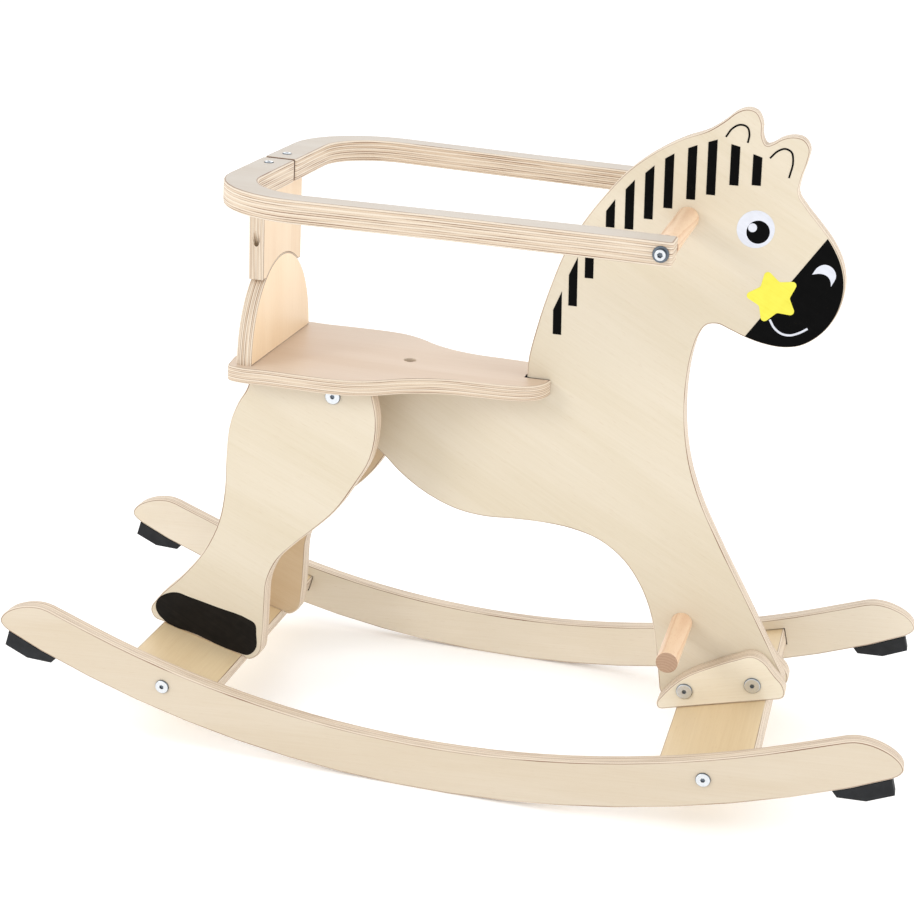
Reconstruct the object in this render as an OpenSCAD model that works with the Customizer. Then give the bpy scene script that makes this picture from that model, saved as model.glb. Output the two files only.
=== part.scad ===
// Plywood rocking horse with a seat ring, in millimetres.
// X runs forward, Y to the horse's left and Z up. The rockers stand level, with
// their lowest flat at Z = 0 and the middle of their length at X = 0.

/* [Rockers] */
// Radius of the curved underside
rocker_radius = 895; // [885:1:905]
// Height of the rocker band
rocker_depth = 40; // [36:1:42]
// Board thickness of a rocker
rocker_t = 13; // [12:0.5:15]
// Width over both rockers
rocker_span = 292; // [286:2:320]
// Angle along the rocker at which each crossboard sits
board_angle = 15.3; // [14.5:0.1:16]

/* [Crossboards] */
// Board thickness of a crossboard
board_t = 15; // [12:0.5:16]
// Width of a crossboard along the rocker
board_w = 78; // [70:1:86]
// Depth of the mortise that takes a crossboard end
mortise_depth = 4; // [2:0.5:6]

/* [Body] */
// Thickness of the body panel
body_t = 15; // [12:0.5:16]
// Thickness of a hind leg
leg_t = 15; // [12:0.5:16]
// Width over both hind legs
leg_span = 120; // [110:2:130]
// Thickness of a front bracket
bracket_t = 15; // [12:0.5:16]

/* [Seat] */
// Height of the sitting surface
seat_h = 322; // [320:0.5:323]
// Thickness of the seat board
seat_t = 13; // [12:0.5:14]
// Half the width of the backrest arch
arch_half = 73; // [70:0.5:76]
// Height of the backrest arch above the seat
arch_h = 78.5; // [74:0.5:82]
// Width of the upper post
post_w = 93; // [86:1:100]
// Thickness of the backrest boards
back_t = 13; // [12:0.5:15]

/* [Rail] */
// Height of the rail's top face above the rockers' middle
rail_h = 477; // [474:0.5:480]
// Board thickness of the rail
rail_t = 18; // [16:0.5:20]
// Slope of the rail, front end lower, in degrees
rail_slope = 0.9; // [0.5:0.1:1.3]
// Gap between the two rail halves
rail_gap = 3; // [1:0.5:5]

/* [Dowels] */
// Diameter of the handlebar and the footrest
dowel_d = 18; // [16:0.5:20]
// Length of the footrest
footrest_l = 184; // [170:2:200]

/* [Hidden] */

$fn = 48;
right = -1;
left = 1;
rear = -1;
front = 1;
eps = 0.01;
fit = 0.2;            // clearance of a bolt or dowel in its hole
ink_t = 0.2;          // thickness of the printed layer
flat = 3;             // angle taken by one short flat of the rocker's underside
inner_radius = rocker_radius - rocker_depth;
rocker_in = rocker_span / 2 - rocker_t;
board_r = rocker_radius - 23;          // radius at the middle of a crossboard
board_len = 2 * (rocker_in + mortise_depth);
seat_under = seat_h - seat_t;
seat_slot = body_t + 0.6;
back_face = -180;                      // front face of the backrest boards
handle_x = 156;
handle_z = rail_h - rail_t / 2 - handle_x * tan(rail_slope);
handle_half = 117;                     // reach of the handlebar, to the rail's flat inner face
foot_x = 186;
foot_z = 124;
bolt_r = 3;
head_r = 6.5;
head_t = 1.8;

PLY = "#efe3cc";
PLY_WARM = "#e9cfae";
DOWEL = "#ecc9a2";
RUBBER = "#34383b";
STEEL = "#c9ccd0";
BLACK = "#1f1d1b";
WHITE = "#f7f7f4";
YELLOW = "#f7ee4e";

// ---- Curves -------------------------------------------------------------

function unit(v) = v / norm(v);
function at(p) = [p[0], p[1]];
// Direction of a smooth curve at point i, weighted by the two neighbouring chords
function flow(P, i) =
    let(n = len(P), a = at(P[i]) - at(P[(i + n - 1) % n]), b = at(P[(i + 1) % n]) - at(P[i]))
    unit(a * norm(b) / norm(a) + b * norm(a) / norm(b));
function lead(P, i, j, k) = P[k][2] == 1 ? unit(at(P[j]) - at(P[i])) : flow(P, k);
function blend(a, b, ta, tb, s) =
    (2 * s ^ 3 - 3 * s ^ 2 + 1) * a + (s ^ 3 - 2 * s ^ 2 + s) * ta
    + (3 * s ^ 2 - 2 * s ^ 3) * b + (s ^ 3 - s ^ 2) * tb;
function span(P, i, steps) =
    let(j = (i + 1) % len(P), a = at(P[i]), b = at(P[j]), l = norm(b - a),
        straight = P[i][2] == 1 && P[j][2] == 1)
    straight ? [a] : [for (k = [0:steps - 1])
        blend(a, b, l * lead(P, i, j, i), l * lead(P, i, j, j), k / steps)];
// Smooth closed curve through [x, y] points; a third value of 1 marks a corner
function smooth(P, steps = 4) = [for (i = [0:len(P) - 1]) each span(P, i, steps)];
// Smooth open curve through points
function sweep_through(P, steps = 4) =
    let(n = len(P), Q = [for (i = [0:n - 1]) [P[i][0], P[i][1], i == 0 || i == n - 1 ? 1 : 0]])
    [for (i = [0:n - 2]) each span(Q, i, steps), at(P[n - 1])];
function side(C, i) =
    let(d = unit(C[min(i + 1, len(C) - 1)] - C[max(i - 1, 0)])) [-d[1], d[0]];
// Line of width w drawn along an open curve
function ribbon(C, w) = concat(
    [for (i = [0:len(C) - 1]) C[i] + side(C, i) * w / 2],
    [for (i = [len(C) - 1:-1:0]) C[i] - side(C, i) * w / 2]);
function turn(a, b) = let(d = b - a) d > 180 ? d - 360 : d < -180 ? d + 360 : d;
function corner(a, p, b, r, steps) =
    let(u = unit(a - p), v = unit(b - p), half = acos(u * v) / 2, c = p + unit(u + v) * r / sin(half),
        s = p + u * r / tan(half) - c, e = p + v * r / tan(half) - c, a0 = atan2(s[1], s[0]),
        sweep = turn(a0, atan2(e[1], e[0])))
    [for (k = [0:steps]) c + r * [cos(a0 + sweep * k / steps), sin(a0 + sweep * k / steps)]];
// Polygon of [x, y, corner radius] points
function rounded(P, steps = 6) = let(n = len(P))
    [for (i = [0:n - 1]) each P[i][2] > 0
        ? corner(at(P[(i + n - 1) % n]), at(P[i]), at(P[(i + 1) % n]), P[i][2], steps)
        : [at(P[i])]];
// Point at an angle along the rocker and a radius from the rocker's centre
function on_rocker(angle, r) = [r * sin(angle), rocker_radius - r * cos(angle)];
function flip(P) = [for (i = [len(P) - 1:-1:0]) [-P[i][0], P[i][1]]];

// ---- Placing ------------------------------------------------------------

// Board standing in the XZ plane, from y0 to y1
module upright(y0, y1) {
    translate([0, y1, 0]) rotate([90, 0, 0]) linear_extrude(y1 - y0) children();
}
// Board on one side of the horse: s is right or left, inner and outer its distances from the middle
module beside(s, inner, outer) {
    upright(s > 0 ? inner : -outer, s > 0 ? outer : -inner) children();
}
// Frame of a crossboard: origin in the middle of its top face, X along the rocker
module on_board(end) {
    translate([0, 0, rocker_radius]) rotate([0, -end * board_angle, 0])
        translate([0, 0, -board_r + board_t / 2]) children();
}
// Frame of the rail: origin on its top face
module on_rail() {
    translate([0, 0, rail_h]) rotate([0, rail_slope, 0]) children();
}
// Hole or pin along Y
module across(x, z, r, y0, y1) {
    translate([x, y1, z]) rotate([90, 0, 0]) cylinder(h = y1 - y0, r = r);
}
// Bolt along -Z with its flat head's seat at Z = 0 and a hexagon socket
module bolt(length, r = bolt_r, hr = head_r, ht = head_t, socket = 2) {
    difference() {
        union() {
            cylinder(h = ht, r = hr);
            translate([0, 0, -length]) cylinder(h = length + eps, r = r);
        }
        translate([0, 0, 0.3]) cylinder(h = ht, r = socket * 1.15, $fn = 6);
    }
}
// Points a bolt drawn along -Z inwards from the side s
module inwards(s, x, y, z) {
    translate([x, s * y, z]) rotate([-s * 90, 0, 0]) children();
}

// ---- Outlines -----------------------------------------------------------

BODY = [
    [39, 309, 1], [37.5, 333], [42.5, 363.5], [52.5, 403], [61, 428.5], [74, 454], [90.5, 478.5],
    [107.5, 499],
    [128, 515.5], [148, 527], [166, 534.5], [177, 542.5], [185, 549.5], [192, 552.5], [200, 551],
    [205, 543.5], [207, 531.5], [210.5, 527], [215, 528.5], [221, 532.5], [230, 535], [238, 533.5],
    [243, 527], [242.5, 517], [239.5, 504], [239, 492.5], [246, 483], [257.5, 471], [270, 457],
    [279, 441.5], [283, 425], [282, 411], [277, 396.5], [267, 383], [254, 374.2], [242, 371.6],
    [228, 372.3], [211.5, 376.2], [198, 381.2], [188, 384.5], [180, 382.8], [174.5, 374], [171, 360],
    [169, 337], [170, 309], [173.5, 285], [178.5, 265], [188.5, 239], [207.5, 203.3], [238, 152.5],
    [277, 86.5, 1]
];
BELLY = [
    [173, 60, 1], [169.6, 80], [166.4, 97], [161.7, 119], [156, 135.6], [147, 153.2], [132, 172.3],
    [109.5, 187.7], [84.5, 194.5], [60, 196.3], [34, 195.8], [10, 194.4], [-14, 197], [-31, 202.3],
    [-69, 225], [-82, 237], [-104, 252], [-132, 262], [-160, 266], [-178, 277], [-186, 295],
    [-188, 309, 1]
];
HIND_LEG = [
    [-186, 309, 1], [-188, 300], [-196.5, 285], [-202.5, 270], [-207, 233], [-208, 206],
    [-213.5, 175.5], [-227, 146], [-249, 117.5], [-271, 94], [-277.5, 82], [-274.5, 75],
    [-264, 71.6, 1], [-194, 51.6, 1], [-184, 48.8], [-175, 55], [-171.5, 73], [-170, 102],
    [-168, 127.5], [-160, 146.5], [-145.5, 163.2], [-129.2, 178.7], [-108.5, 200], [-92.5, 225],
    [-79, 250.5], [-75, 286], [-80, 309, 1]
];
HOOF = [
    [-253, 102.5], [-263, 99.5], [-271, 92.5], [-272.5, 84], [-268.5, 76.8], [-233, 64.5], [-196, 54],
    [-185, 53], [-178.5, 59], [-177.5, 74], [-179.5, 85], [-184, 87.3], [-214.5, 94.5],
    [-241, 100.2]
];
ROCKER_END = [
    [334, 107], [341, 108.6], [350, 108.6], [363, 105.5], [373, 100.3], [378.6, 94.5], [380, 90.5],
    [378, 86.2], [372, 81.6]
];
SEAT_EDGE = [
    [-201, 0, 1], [-201, 68, 1], [-198.5, 77], [-190, 80.5], [-165, 80], [-137, 80.8], [-108, 80.6],
    [-91, 78], [-74, 69.5], [-57, 56.6], [-39, 47.3], [-17, 41.5], [7, 40], [31, 37.6], [46, 32.6],
    [54.5, 22.5], [58, 8, 1], [58, 0, 1]
];
// Stripes of the mane: left edge and height of the foot, then heights of the two top corners
MANE = [
    [56.5, 361, 381, 397], [67.5, 386, 411, 426], [79, 410, 440, 452], [92.5, 452.5, 465, 475],
    [107.5, 452.5, 483.5, 491.5], [122, 462, 497.5, 504], [136.5, 472, 510, 514.5],
    [153.5, 480.5, 519.5, 522.5], [168.5, 485.5, 525.5, 528], [185.5, 494.5, 525.5, 524],
    [202.5, 496, 519.5, 517.5]
];
mane_w = 7;
mane_lean = 3.3;
eye = [209.5, 462.5];
eye_r = 14.6;
pupil = [211.6, 460.5];
pupil_r = 9;
glint = [207, 463.5];
glint_r = 3.4;
star = [229, 411];
star_tip = 23.5;
star_notch = 12.8;
line_w = 1.4;
EARS = [
    [[179, 530.5], [183.5, 537.5], [189, 540.5], [194.5, 539], [196.5, 534], [196, 527.5]],
    [[214, 517.5], [219.5, 523.5], [224.5, 525.5], [229.5, 523.5], [231.5, 517.5], [230, 504]]
];
SMILE = [[228.5, 393], [233, 386.5], [239, 382.7], [245.5, 382.2], [252, 384.7], [258.5, 389]];
NOSTRIL = [
    [256.5, 432, 1], [260.5, 438.5], [265.5, 440.7], [271.3, 438.7], [274.7, 433.4], [272, 424, 1],
    [271, 428.4], [268, 432], [262.5, 433.3]
];

function board_point(end, u, w) =
    let(c = on_rocker(end * board_angle, board_r - board_t / 2))
    c + u * [cos(board_angle), end * sin(board_angle)] + w * [-end * sin(board_angle), cos(board_angle)];

module body_outline() {
    foot = [board_point(front, 49, 6), board_point(front, 45, 0), board_point(front, -52, 0)];
    polygon(smooth(concat(BODY, [for (p = foot) [p[0], p[1], 1]], BELLY)));
}
module rocker_outline() {
    bottom = [for (k = [0.5:1:7.5]) on_rocker(k * flat, rocker_radius / cos(flat / 2))];
    end = sweep_through(ROCKER_END, 3);
    top = [for (k = [20.25:-1.5:0.75]) on_rocker(k, inner_radius)];
    half = concat(bottom, [for (i = [len(end) - 1:-1:0]) end[i]], top);
    polygon(concat(half, flip(half)));
}
module seat_outline() {
    edge = sweep_through(SEAT_EDGE);
    polygon(concat(edge, [for (i = [len(edge) - 1:-1:0]) [edge[i][0], -edge[i][1]]]));
}
module arch_outline(grow = 0) {
    polygon([for (a = [0:5:180]) [(arch_half + grow) * cos(a), (arch_h + grow) * sin(a)]]);
}

module muzzle_outline() {
    intersection() {
        offset(delta = -0.7) body_outline();
        translate([-1.5, -1]) body_outline();
        polygon([[269.5, 468], [205.5, 369], [300, 340], [300, 468]]);
    }
}
module star_outline() {
    polygon(rounded([for (k = [0:9]) let(r = k % 2 == 0 ? star_tip : star_notch, a = 38 + 36 * k)
        [star[0] + r * cos(a), star[1] + r * sin(a), 3]]));
}
module bracket_outline() {
    polygon(smooth([
        [-51, 0, 1], [-54, 1.2], [-55, 4], [-54, 8], [-50, 12], [-29, 27], [-3, 35.3], [19, 40],
        [33, 41.5], [38, 39], [49, 22], [54.5, 11.5], [54.5, 4], [52.5, 1], [49, 0, 1]
    ]));
}
module rail_outline() {
    polygon(rounded([
        [-198, rail_gap / 2, 3], [-198, 157.5, 76], [0, 145.5, 400], [164.5, 142.5, 3],
        [164.5, handle_half, 3], [142, handle_half, 60], [100, 115.5, 200], [-170, 133, 50], [-170, rail_gap / 2, 3]
    ], 10));
}

// ---- Boards -------------------------------------------------------------

module body_panel() color(PLY) difference() {
    upright(-body_t / 2, body_t / 2) body_outline();
    across(handle_x, handle_z, dowel_d / 2 + 0.05, -body_t, body_t);
    across(foot_x, foot_z, dowel_d / 2 + 0.05, -body_t, body_t);
    seat_screw_at() cylinder(h = 120, r = 2.5 + fit, center = true);
    on_board(front) for (u = BRACKET_BOLTS)
        across(u, bracket_bolt_w, bolt_r + fit, -body_t, body_t);
    foot_screws_at(front) cylinder(h = 2 * leg_screw_l + 2, r = 2 + fit, center = true);
}
module seat_board() color(PLY_WARM) difference() {
    translate([0, 0, seat_under]) linear_extrude(seat_t) difference() {
        seat_outline();
        translate([37, -seat_slot / 2]) square([30, seat_slot]);
    }
    seat_screw_at() {
        cylinder(h = 20, r = 5.4);
        cylinder(h = 60, r = 2.5 + fit, center = true);
    }
    arch_screws_at() cylinder(h = 60, r = 2 + fit, center = true);
}
module backrest_arch() color(PLY_WARM) difference() {
    backrest_board() translate([0, seat_h]) arch_outline();
    for (s = [right, left]) pocket(s) cylinder(h = 2 * pocket_l, r = 1.75 + fit, center = true);
    arch_screws_at() cylinder(h = 2 * arch_screw_l, r = 2 + fit, center = true);
}
module backrest_post() color(PLY_WARM) difference() {
    backrest_board() difference() {
        translate([-post_w / 2, 388]) square([post_w, 100]);
        translate([0, seat_h]) arch_outline();
    }
    on_rail() translate([-300, -100, -rail_t]) cube([300, 200, 100]);
    for (s = [right, left]) pocket(s) {
        cylinder(h = 2 * pocket_l, r = 1.75 + fit, center = true);
        translate([0, 0, -pocket_seat]) cylinder(h = 40, r = 3);
    }
    rail_screws_at() cylinder(h = 2 * rail_screw_l, r = 2 + fit, center = true);
}
// Board standing across the horse behind the rider
module backrest_board() {
    translate([back_face - back_t, 0, 0]) rotate([90, 0, 90]) linear_extrude(back_t) children();
}
module rail_half(s) color(PLY) difference() {
    on_rail() mirror([0, s > 0 ? 0 : 1, 0]) translate([0, 0, -rail_t])
        linear_extrude(rail_t) rail_outline();
    beside_hole(s, handle_x, handle_z, 2.5 + fit, 100, 160);
    beside_hole(s, handle_x, handle_z, washer_r + 0.3, rail_face, 160);
    rail_screws_at() {
        cylinder(h = 2 * rail_screw_l, r = 2 + fit, center = true);
        cylinder(h = 10, r = 3.8 + fit);
    }
}
// Hole along Y on one side of the horse, between two distances from the middle
module beside_hole(s, x, z, r, inner, outer) {
    across(x, z, r, s > 0 ? inner : -outer, s > 0 ? outer : -inner);
}
module hind_leg(s) color(PLY) difference() {
    beside(s, leg_span / 2 - leg_t, leg_span / 2) difference() {
        polygon(smooth(HIND_LEG));
        rear_board_outline();
    }
    across(hip[0], hip[1], bolt_r + fit, -leg_span, leg_span);
    foot_screws_at(rear) cylinder(h = 2 * leg_screw_l + 2, r = 2 + fit, center = true);
}
// Keeps the legs' feet flush with the rear crossboard's top face
module rear_board_outline() {
    polygon([board_point(rear, 40, 0), board_point(rear, -36, 0), board_point(rear, -36, -board_t),
        board_point(rear, 40, -board_t)]);
}
module hip_block(s) color(PLY_WARM) difference() {
    translate([-168, s > 0 ? body_t / 2 : -(leg_span / 2 - leg_t), 275])
        cube([76, leg_span / 2 - leg_t - body_t / 2, seat_under - 275]);
    across(hip[0], hip[1], bolt_r + fit, -leg_span, leg_span);
}
module rocker(s) color(PLY) difference() {
    beside(s, rocker_in, rocker_span / 2) rocker_outline();
    for (end = [rear, front]) on_board(end) {
        translate([0, 0, -board_t / 2]) cube([board_w + 1.6, board_len, board_t + 1.4], center = true);
        across(0, -board_t / 2, bolt_r + fit, -rocker_span, rocker_span);
    }
    for (end = [rear, front]) stopper_screw_at(s, end)
        cylinder(h = 2 * stopper_screw_l, r = 1.6 + fit, center = true);
}
module crossboard(end) color(PLY_WARM) difference() {
    on_board(end) difference() {
        translate([-board_w / 2, -board_len / 2, -board_t]) cube([board_w, board_len, board_t]);
        for (s = [right, left]) {
            beside_hole(s, 0, -board_t / 2, bolt_r + fit, barrel_y - 8, rocker_span);
            translate([0, s * barrel_y, -board_t - 1]) cylinder(h = board_t - 2, r = barrel_r + 0.1);
        }
    }
    foot_screws_at(end) cylinder(h = 60, r = 2 + fit, center = true);
}
module front_bracket(s) color(PLY) on_board(front) difference() {
    beside(s, body_t / 2, body_t / 2 + bracket_t) bracket_outline();
    for (u = BRACKET_BOLTS) across(u, bracket_bolt_w, bolt_r + fit, -60, 60);
}
module stopper(s, end) color(RUBBER) difference() {
    beside(s, rocker_in, rocker_span / 2) difference() {
        polygon([for (p = [[330, 70], [371.6, 84], [376.5, 68], [356, 58.7], [333.5, 57.8], [329, 63]])
            [end * p[0], p[1]]]);
        rocker_outline();
    }
    stopper_screw_at(s, end) {
        cylinder(h = 2 * stopper_screw_l, r = 1.6 + fit, center = true);
        translate([0, 0, -20]) cylinder(h = 20, r = 3.6);
    }
}

// ---- Dowels -------------------------------------------------------------

module handlebar() color(DOWEL) difference() {
    across(handle_x, handle_z, dowel_d / 2, -handle_half, handle_half);
    for (s = [right, left]) beside_hole(s, handle_x, handle_z, 2.5 + fit, handle_half - 30, 200);
}
module footrest() color(DOWEL)
    across(foot_x, foot_z, dowel_d / 2, -footrest_l / 2, footrest_l / 2);

// ---- Fasteners ----------------------------------------------------------

hip = [-113, 301];
BRACKET_BOLTS = [-29, 29];             // places of the bracket bolts along the board
bracket_bolt_w = 15;
bracket_out = body_t / 2 + bracket_t;
barrel_r = 5;
barrel_y = rocker_in - 28;
washer_r = 6;
rail_face = 142.3;                     // spot face for a washer on the rail's side
pocket_tilt = 27;
pocket_seat = 16;                      // depth at which a pocket screw's head sits
pocket_l = 48;
arch_screw_l = 45;
rail_screw_l = 50;
leg_screw_l = 50;
stopper_screw_l = 26;

module seat_screw_at() translate([-65, 0, seat_h - 7]) children();
module arch_screws_at() for (s = [right, left])
    translate([back_face - back_t / 2, s * 28, seat_under]) children();
// Frame of a rail screw, at the seat of its head, sunk 1 mm into the rail
module rail_screws_at() for (s = [right, left])
    on_rail() translate([-185.5, s * 22, -1]) children();
// Frame of a pocket screw: it runs down and inwards from the post's side edge
module pocket(s) translate([back_face - back_t / 2, s * post_w / 2, 422])
    rotate([-s * pocket_tilt, 0, 0]) children();
// Screws up through a crossboard into the feet that stand on it
module foot_screws_at(end) on_board(end)
    for (u = [-20, 20], y = end == front ? [0] : [leg_t / 2 - leg_span / 2, leg_span / 2 - leg_t / 2])
        translate([u, y, -board_t]) children();
module stopper_screw_at(s, end)
    translate([end * 353, s * (rocker_in + rocker_t / 2), 66]) rotate([0, -end * 20, 0]) children();

module rocker_bolts() color(STEEL) for (end = [rear, front], s = [right, left])
    on_board(end) inwards(s, 0, rocker_span / 2, -board_t / 2) bolt(48, hr = 6);
module rocker_barrel_nuts() color(STEEL) for (end = [rear, front]) on_board(end)
    for (s = [right, left]) difference() {
        translate([0, s * barrel_y, -board_t + 1]) cylinder(h = board_t - 4.5, r = barrel_r);
        across(0, -board_t / 2, bolt_r + fit, -rocker_span, rocker_span);
    }
module bracket_bolts() color(STEEL) on_board(front) for (u = BRACKET_BOLTS)
    inwards(right, u, bracket_out, bracket_bolt_w) bolt(32, r = 2.5, hr = 7);
module bracket_sleeve_nuts() color(STEEL) on_board(front) for (u = BRACKET_BOLTS)
    inwards(left, u, bracket_out, bracket_bolt_w) difference() {
        bolt(20, r = bolt_r, hr = 7);
        translate([0, 0, -21]) cylinder(h = 19, r = 2.6);
    }
module hip_bolts() color(STEEL) for (s = [right, left])
    inwards(s, hip[0], leg_span / 2, hip[1]) bolt(45, hr = 6.5);
module rail_washers() color(STEEL) for (s = [right, left])
    inwards(s, handle_x, rail_face, handle_z) difference() {
        cylinder(h = 1.2, r = washer_r);
        cylinder(h = 10, r = 2.5 + fit, center = true);
    }
module rail_bolts() color(STEEL) for (s = [right, left])
    inwards(s, handle_x, rail_face + 1.2, handle_z) bolt(50, r = 2.5, hr = 4.2, ht = 3, socket = 2);
module rail_screws() color(STEEL) rail_screws_at()
    bolt(45, r = 2, hr = 3.8, ht = 1.8, socket = 1.4);
module pocket_screws() color(STEEL) for (s = [right, left]) pocket(s)
    translate([0, 0, -pocket_seat])
        bolt(pocket_l - pocket_seat - 2, r = 1.75, hr = 2.8, ht = 2, socket = 1.2);
module seat_screw() color(STEEL) seat_screw_at() bolt(50, r = 2.5, hr = 5, ht = 2.5);
module arch_screws() color(STEEL) arch_screws_at() rotate([180, 0, 0])
    bolt(arch_screw_l - 3, r = 2, hr = 4, ht = 1.6, socket = 1.4);
module leg_screws() color(STEEL) for (end = [rear, front]) foot_screws_at(end)
    rotate([180, 0, 0]) bolt(leg_screw_l - 3, r = 2, hr = 4, ht = 1.6, socket = 1.4);
module stopper_screws() color(STEEL) for (end = [rear, front], s = [right, left])
    stopper_screw_at(s, end) rotate([180, 0, 0])
        bolt(stopper_screw_l - 3, r = 1.6, hr = 3.2, ht = 1.5, socket = 1.1);

// ---- Printed layers -----------------------------------------------------

module printed(s) beside(s, body_t / 2, body_t / 2 + ink_t) children();
module ink_black(s) color(BLACK) printed(s) {
    for (m = MANE) let(lean = tan(mane_lean)) polygon([
        [m[0], m[1]], [m[0] + mane_w, m[1]], [m[0] + mane_w - lean * (m[3] - m[1]), m[3]],
        [m[0] - lean * (m[2] - m[1]), m[2]]]);
    for (e = EARS) polygon(ribbon(sweep_through(e), line_w));
    difference() {
        translate(pupil) circle(r = pupil_r);
        translate(glint) circle(r = glint_r);
    }
    difference() {
        muzzle_outline();
        marks();
        star_outline();
    }
}
module marks() {
    polygon(smooth(NOSTRIL));
    polygon(ribbon(sweep_through(SMILE), line_w + 0.3));
}
module ink_white(s) color(WHITE) printed(s) {
    difference() {
        translate(eye) circle(r = eye_r);
        translate(pupil) circle(r = pupil_r);
    }
    translate(glint) circle(r = glint_r);
    difference() {
        marks();
        star_outline();
    }
}
module star_print(s) color(YELLOW) printed(s) star_outline();
module hoof(s) color(BLACK) beside(s, leg_span / 2, leg_span / 2 + ink_t) polygon(smooth(HOOF));

body_panel();
seat_board();
backrest_arch();
backrest_post();
rail_half(right);  // rail_right
rail_half(left);  // rail_left
handlebar();
footrest();
hind_leg(right);  // hind_leg_right
hind_leg(left);  // hind_leg_left
hip_block(right);  // hip_block_right
hip_block(left);  // hip_block_left
rocker(right);  // rocker_right
rocker(left);  // rocker_left
crossboard(rear);  // rear_crossboard
crossboard(front);  // front_crossboard
front_bracket(right);  // front_bracket_right
front_bracket(left);  // front_bracket_left
stopper(right, rear);  // stopper_rear_right
stopper(left, rear);  // stopper_rear_left
stopper(right, front);  // stopper_front_right
stopper(left, front);  // stopper_front_left
rocker_bolts();
rocker_barrel_nuts();
bracket_bolts();
bracket_sleeve_nuts();
hip_bolts();
rail_bolts();
rail_washers();
rail_screws();
pocket_screws();
seat_screw();
arch_screws();
leg_screws();
stopper_screws();
ink_black(right);  // ink_black_right
ink_black(left);  // ink_black_left
ink_white(right);  // ink_white_right
ink_white(left);  // ink_white_left
star_print(right);  // star_right
star_print(left);  // star_left
hoof(right);  // hoof_right
hoof(left);  // hoof_left
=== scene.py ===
from math import cos, pi, radians, sin

import bmesh
import bpy
from mathutils import Matrix, Vector


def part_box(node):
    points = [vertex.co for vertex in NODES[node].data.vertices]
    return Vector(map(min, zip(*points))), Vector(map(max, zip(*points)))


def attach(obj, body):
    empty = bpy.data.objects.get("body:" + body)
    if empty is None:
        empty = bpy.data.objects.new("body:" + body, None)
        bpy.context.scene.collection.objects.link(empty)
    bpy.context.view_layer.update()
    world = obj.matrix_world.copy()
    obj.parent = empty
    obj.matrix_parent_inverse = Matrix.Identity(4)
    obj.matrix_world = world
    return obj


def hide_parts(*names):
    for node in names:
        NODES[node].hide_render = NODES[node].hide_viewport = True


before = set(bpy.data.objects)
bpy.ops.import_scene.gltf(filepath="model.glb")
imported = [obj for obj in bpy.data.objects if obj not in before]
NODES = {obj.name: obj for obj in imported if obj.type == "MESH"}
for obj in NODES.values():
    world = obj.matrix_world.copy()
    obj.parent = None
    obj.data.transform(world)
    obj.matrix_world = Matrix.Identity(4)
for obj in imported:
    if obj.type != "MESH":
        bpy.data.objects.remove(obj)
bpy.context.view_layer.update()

MM = 0.001
RIGHT, LEFT = -1, 1
REAR, FRONT = -1, 1
SIDES = ((RIGHT, "right"), (LEFT, "left"))
ENDS = ((REAR, "rear"), (FRONT, "front"))
X_AXIS, Y_AXIS, Z_AXIS = Vector((1, 0, 0)), Vector((0, 1, 0)), Vector((0, 0, 1))
SQUARE = 0.985           # cosine past which a face counts as square to an axis


def turned(angle, axis):
    return Matrix.Rotation(radians(angle), 4, axis)


def moved(x, y, z):
    return Matrix.Translation(Vector((x, y, z)) * MM)


# ---- Places that the frame gives ------------------------------------------------

ROCKER_RADIUS = 895
ROCKER_T = 13
ROCKER_FACE = 146        # outer face of a rocker, from the middle of the horse
MORTISE_DEPTH = 4
BOARD_ANGLE = 15.3       # where a crossboard sits along the rocker, in degrees
BOARD_TOP = -864.5       # a crossboard's top face, from the rocker's centre
BOARD_T = 15
RAIL_SLOPE = 0.9         # front end lower, in degrees
RAIL_H = 477
RAIL_T = 18
RAIL_FACE = 142.3        # where a washer sits on the rail, from the middle of the horse
BODY_T = 15
LEG_FACE = 60
LEG_T = 15
BRACKET_FACE = 22.5
BRACKET_T = 15
SEAT_MIDDLE = 315.5      # middle of the seat board's thickness
SEAT_T = 13
BACK_MIDDLE = -186.5     # middle of the backrest boards' thickness
BACK_T = 13


def on_board(end):
    """Frame of a crossboard: origin in the middle of its top face, X along the rocker."""
    return moved(0, 0, ROCKER_RADIUS) @ turned(-end * BOARD_ANGLE, "Y") @ moved(0, 0, BOARD_TOP)


def inwards(side, x, y, z):
    """Frame of a bolt that points inwards from one side, with its head's seat at Z = 0."""
    return moved(x, side * y, z) @ turned(-side * 90, "X")


ON_RAIL = moved(0, 0, RAIL_H) @ turned(RAIL_SLOPE, "Y")


# ---- Colours and nodes ----------------------------------------------------------

def linear(code):
    """Turns an sRGB hex colour to the linear values that a shader takes."""
    parts = [int(code[i:i + 2], 16) / 255 for i in (1, 3, 5)]
    return [p / 12.92 if p <= 0.04045 else ((p + 0.055) / 1.055) ** 2.4 for p in parts] + [1]


def add(tree, kind, inputs=(), **settings):
    """Adds a node with its settings; inputs takes values, sockets or other nodes."""
    node = tree.nodes.new(kind)
    for name, value in settings.items():
        setattr(node, name, value)
    for key, value in dict(inputs).items():
        if isinstance(value, bpy.types.Node):
            value = next(o for o in value.outputs if o.enabled)
        if isinstance(value, bpy.types.NodeSocket):
            tree.links.new(value, node.inputs[key])
        else:
            node.inputs[key].default_value = value
    return node


def new_material(name):
    material = bpy.data.materials.new(name)
    material.use_nodes = True
    tree = material.node_tree
    tree.nodes.clear()
    return material, tree


def finish_material(tree, colour, rough, bump, **fixed):
    """Ends a material: its colour, roughness and bump, with constants set on the shader."""
    shader = add(tree, "ShaderNodeBsdfPrincipled",
                 {"Base Color": colour, "Roughness": rough, "Normal": bump})
    for name, value in fixed.items():
        shader.inputs[name.replace("_", " ")].default_value = value
    add(tree, "ShaderNodeOutputMaterial", {"Surface": shader})


# ---- Plywood --------------------------------------------------------------------

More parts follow.
